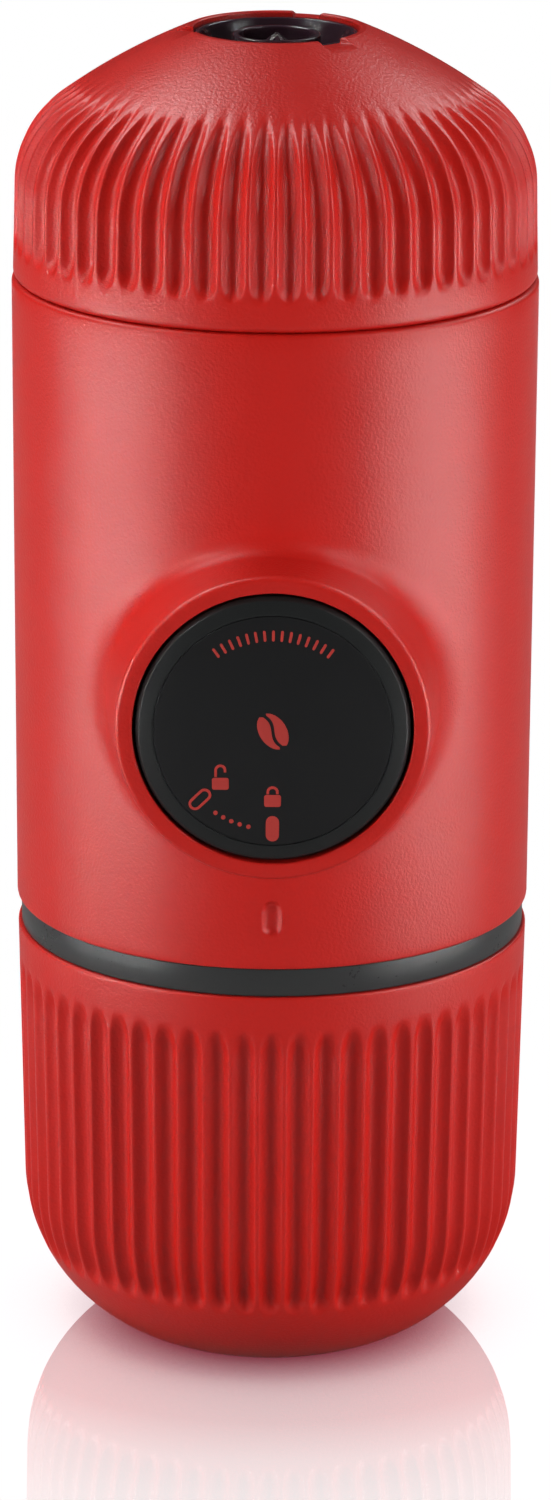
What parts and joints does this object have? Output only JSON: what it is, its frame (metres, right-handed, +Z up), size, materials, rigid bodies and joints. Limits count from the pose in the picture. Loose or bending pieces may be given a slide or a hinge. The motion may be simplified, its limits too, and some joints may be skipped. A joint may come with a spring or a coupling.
{
  "type": "handheld manual espresso maker",
  "caption": "Handheld hand-pumped espresso maker with a red fluted cup and head, a dark water tank and a round pump knob on the front.",
  "frame": {"origin": "centre of the cup's flat base, on the axis of the whole stack", "axes": "+Z up through the stack, -Y towards the pump knob, +X to the right seen from the knob"},
  "size_m": [0.0614, 0.0699, 0.158],
  "materials": {
    "red_shell": "fine textured satin",
    "black_plastic": "satin",
    "gloss_liner": "glossy",
    "tank_plastic": "dark smoked",
    "inner_plastic": "matt",
    "steel": "brushed",
    "black_rubber": "matt",
    "silicone": "translucent grey silicone"
  },
  "bodies": {
    "cup_body": {"cup": "red_shell"},
    "tank_body": {"water_tank": "tank_plastic"},
    "seal_body": {"tank_seal": "silicone"},
    "main_body": {"body_shell": "red_shell", "lower_chassis": "inner_plastic", "inlet_pipe": "inner_plastic", "inlet_valve": "silicone", "air_vent_valve": "silicone", "pump_frame": "inner_plastic", "frame_screws": "steel", "pump_cylinder": "inner_plastic", "cylinder_gland": "inner_plastic", "rod_seal": "black_rubber", "return_spring": "steel", "outlet_valve_spring": "steel", "outlet_bush": "inner_plastic", "brew_head": "inner_plastic", "shower_gasket": "silicone", "shower_screen": "steel", "screen_screw": "steel"},
    "ball_body": {"outlet_valve_ball": "steel"},
    "piston_body": {"piston_rod": "inner_plastic", "piston_seal": "black_rubber", "knob_retainer": "steel"},
    "knob_body": {"knob_cap": "black_plastic", "knob_face": "black_plastic"},
    "scoop_body": {"scoop": "black_plastic"},
    "basket_body": {"filter_basket": "black_plastic", "basket_screen": "steel"},
    "gasket_body": {"head_gasket": "silicone"},
    "head_body": {"head_liner": "gloss_liner", "head_shell": "red_shell", "nozzle": "gloss_liner", "nozzle_valve": "silicone"}
  },
  "joints": [
    {"name": "cup_pull", "type": "slide", "parent": "cup_body", "child": "tank_body", "axis": [0, 0, 1], "range_m": [0, 0.052]},
    {"name": "tank_part", "type": "slide", "parent": "tank_body", "child": "seal_body", "axis": [0, 0, 1], "range_m": [0, 0.012]},
    {"name": "tank_unscrew", "type": "hinge", "parent": "seal_body", "child": "main_body", "pos_m": [0, 0, 0.058], "axis": [0, 0, 1], "range_deg": [0, 90]},
    {"name": "valve_lift", "type": "slide", "parent": "main_body", "child": "ball_body", "axis": [0, 0, 1], "range_m": [0, 0.001], "deforming": ["outlet_valve_spring"]},
    {"name": "piston_slide", "type": "slide", "parent": "main_body", "child": "piston_body", "axis": [0, -1, 0], "range_m": [0, 0.02], "deforming": ["return_spring"]},
    {"name": "knob_turn", "type": "hinge", "parent": "piston_body", "child": "knob_body", "pos_m": [0, -0.03, 0.08525], "axis": [0, -1, 0], "range_deg": [0, 45]},
    {"name": "scoop_lift", "type": "slide", "parent": "main_body", "child": "scoop_body", "axis": [0, 0, 1], "range_m": [0, 0.016]},
    {"name": "basket_lift", "type": "slide", "parent": "scoop_body", "child": "basket_body", "axis": [0, 0, 1], "range_m": [0, 0.018]},
    {"name": "head_lift", "type": "slide", "parent": "basket_body", "child": "gasket_body", "axis": [0, 0, 1], "range_m": [0, 0.02]},
    {"name": "head_unscrew", "type": "hinge", "parent": "gasket_body", "child": "head_body", "pos_m": [0, 0, 0.132], "axis": [0, 0, 1], "range_deg": [0, 90]}
  ]
}
